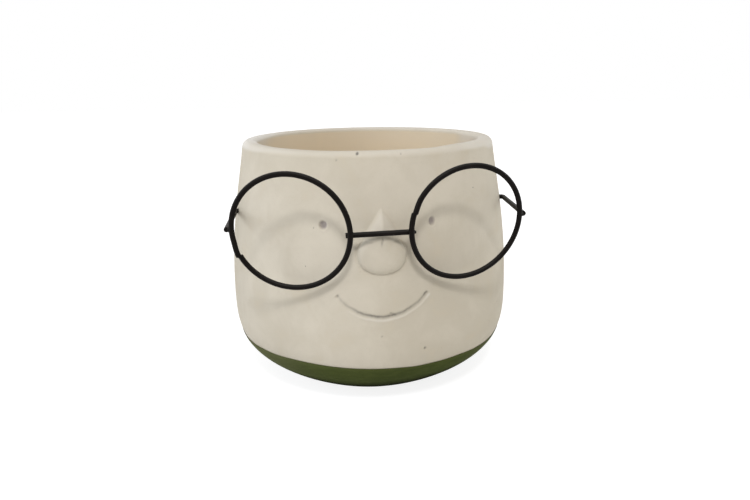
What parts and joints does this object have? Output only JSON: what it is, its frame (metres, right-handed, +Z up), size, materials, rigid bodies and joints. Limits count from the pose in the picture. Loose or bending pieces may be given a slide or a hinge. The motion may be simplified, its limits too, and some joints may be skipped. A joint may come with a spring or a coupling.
{
  "type": "cachepot",
  "caption": "Round cast-cement cachepot with a smiling face in relief, a green dipped base and black wire spectacles that tilt up on hinge pins in its sides.",
  "frame": {"origin": "middle of the flat foot, on the pot's axis, where the pot meets the ground", "axes": "+Z up the pot's axis, the face looks along -Y, +X to the right of someone facing it"},
  "size_m": [0.14, 0.1485, 0.116],
  "materials": {
    "cement": "matt cast cement with fine pores",
    "green_paint": "hand-dipped satin paint",
    "black_wire": "satin black coating on steel wire"
  },
  "bodies": {
    "pot": {"pot_body": "cement", "green_base_coat": "green_paint"},
    "spectacles": {"left_ring": "black_wire", "right_ring": "black_wire", "bridge_bar": "black_wire", "left_temple": "black_wire", "right_temple": "black_wire"}
  },
  "joints": [
    {"name": "spectacles_tilt", "type": "hinge", "parent": "pot", "child": "spectacles", "pos_m": [0, -0.01881, 0.0854], "axis": [-0.9997, 0, -0.0227], "range_deg": [0, 100]}
  ]
}
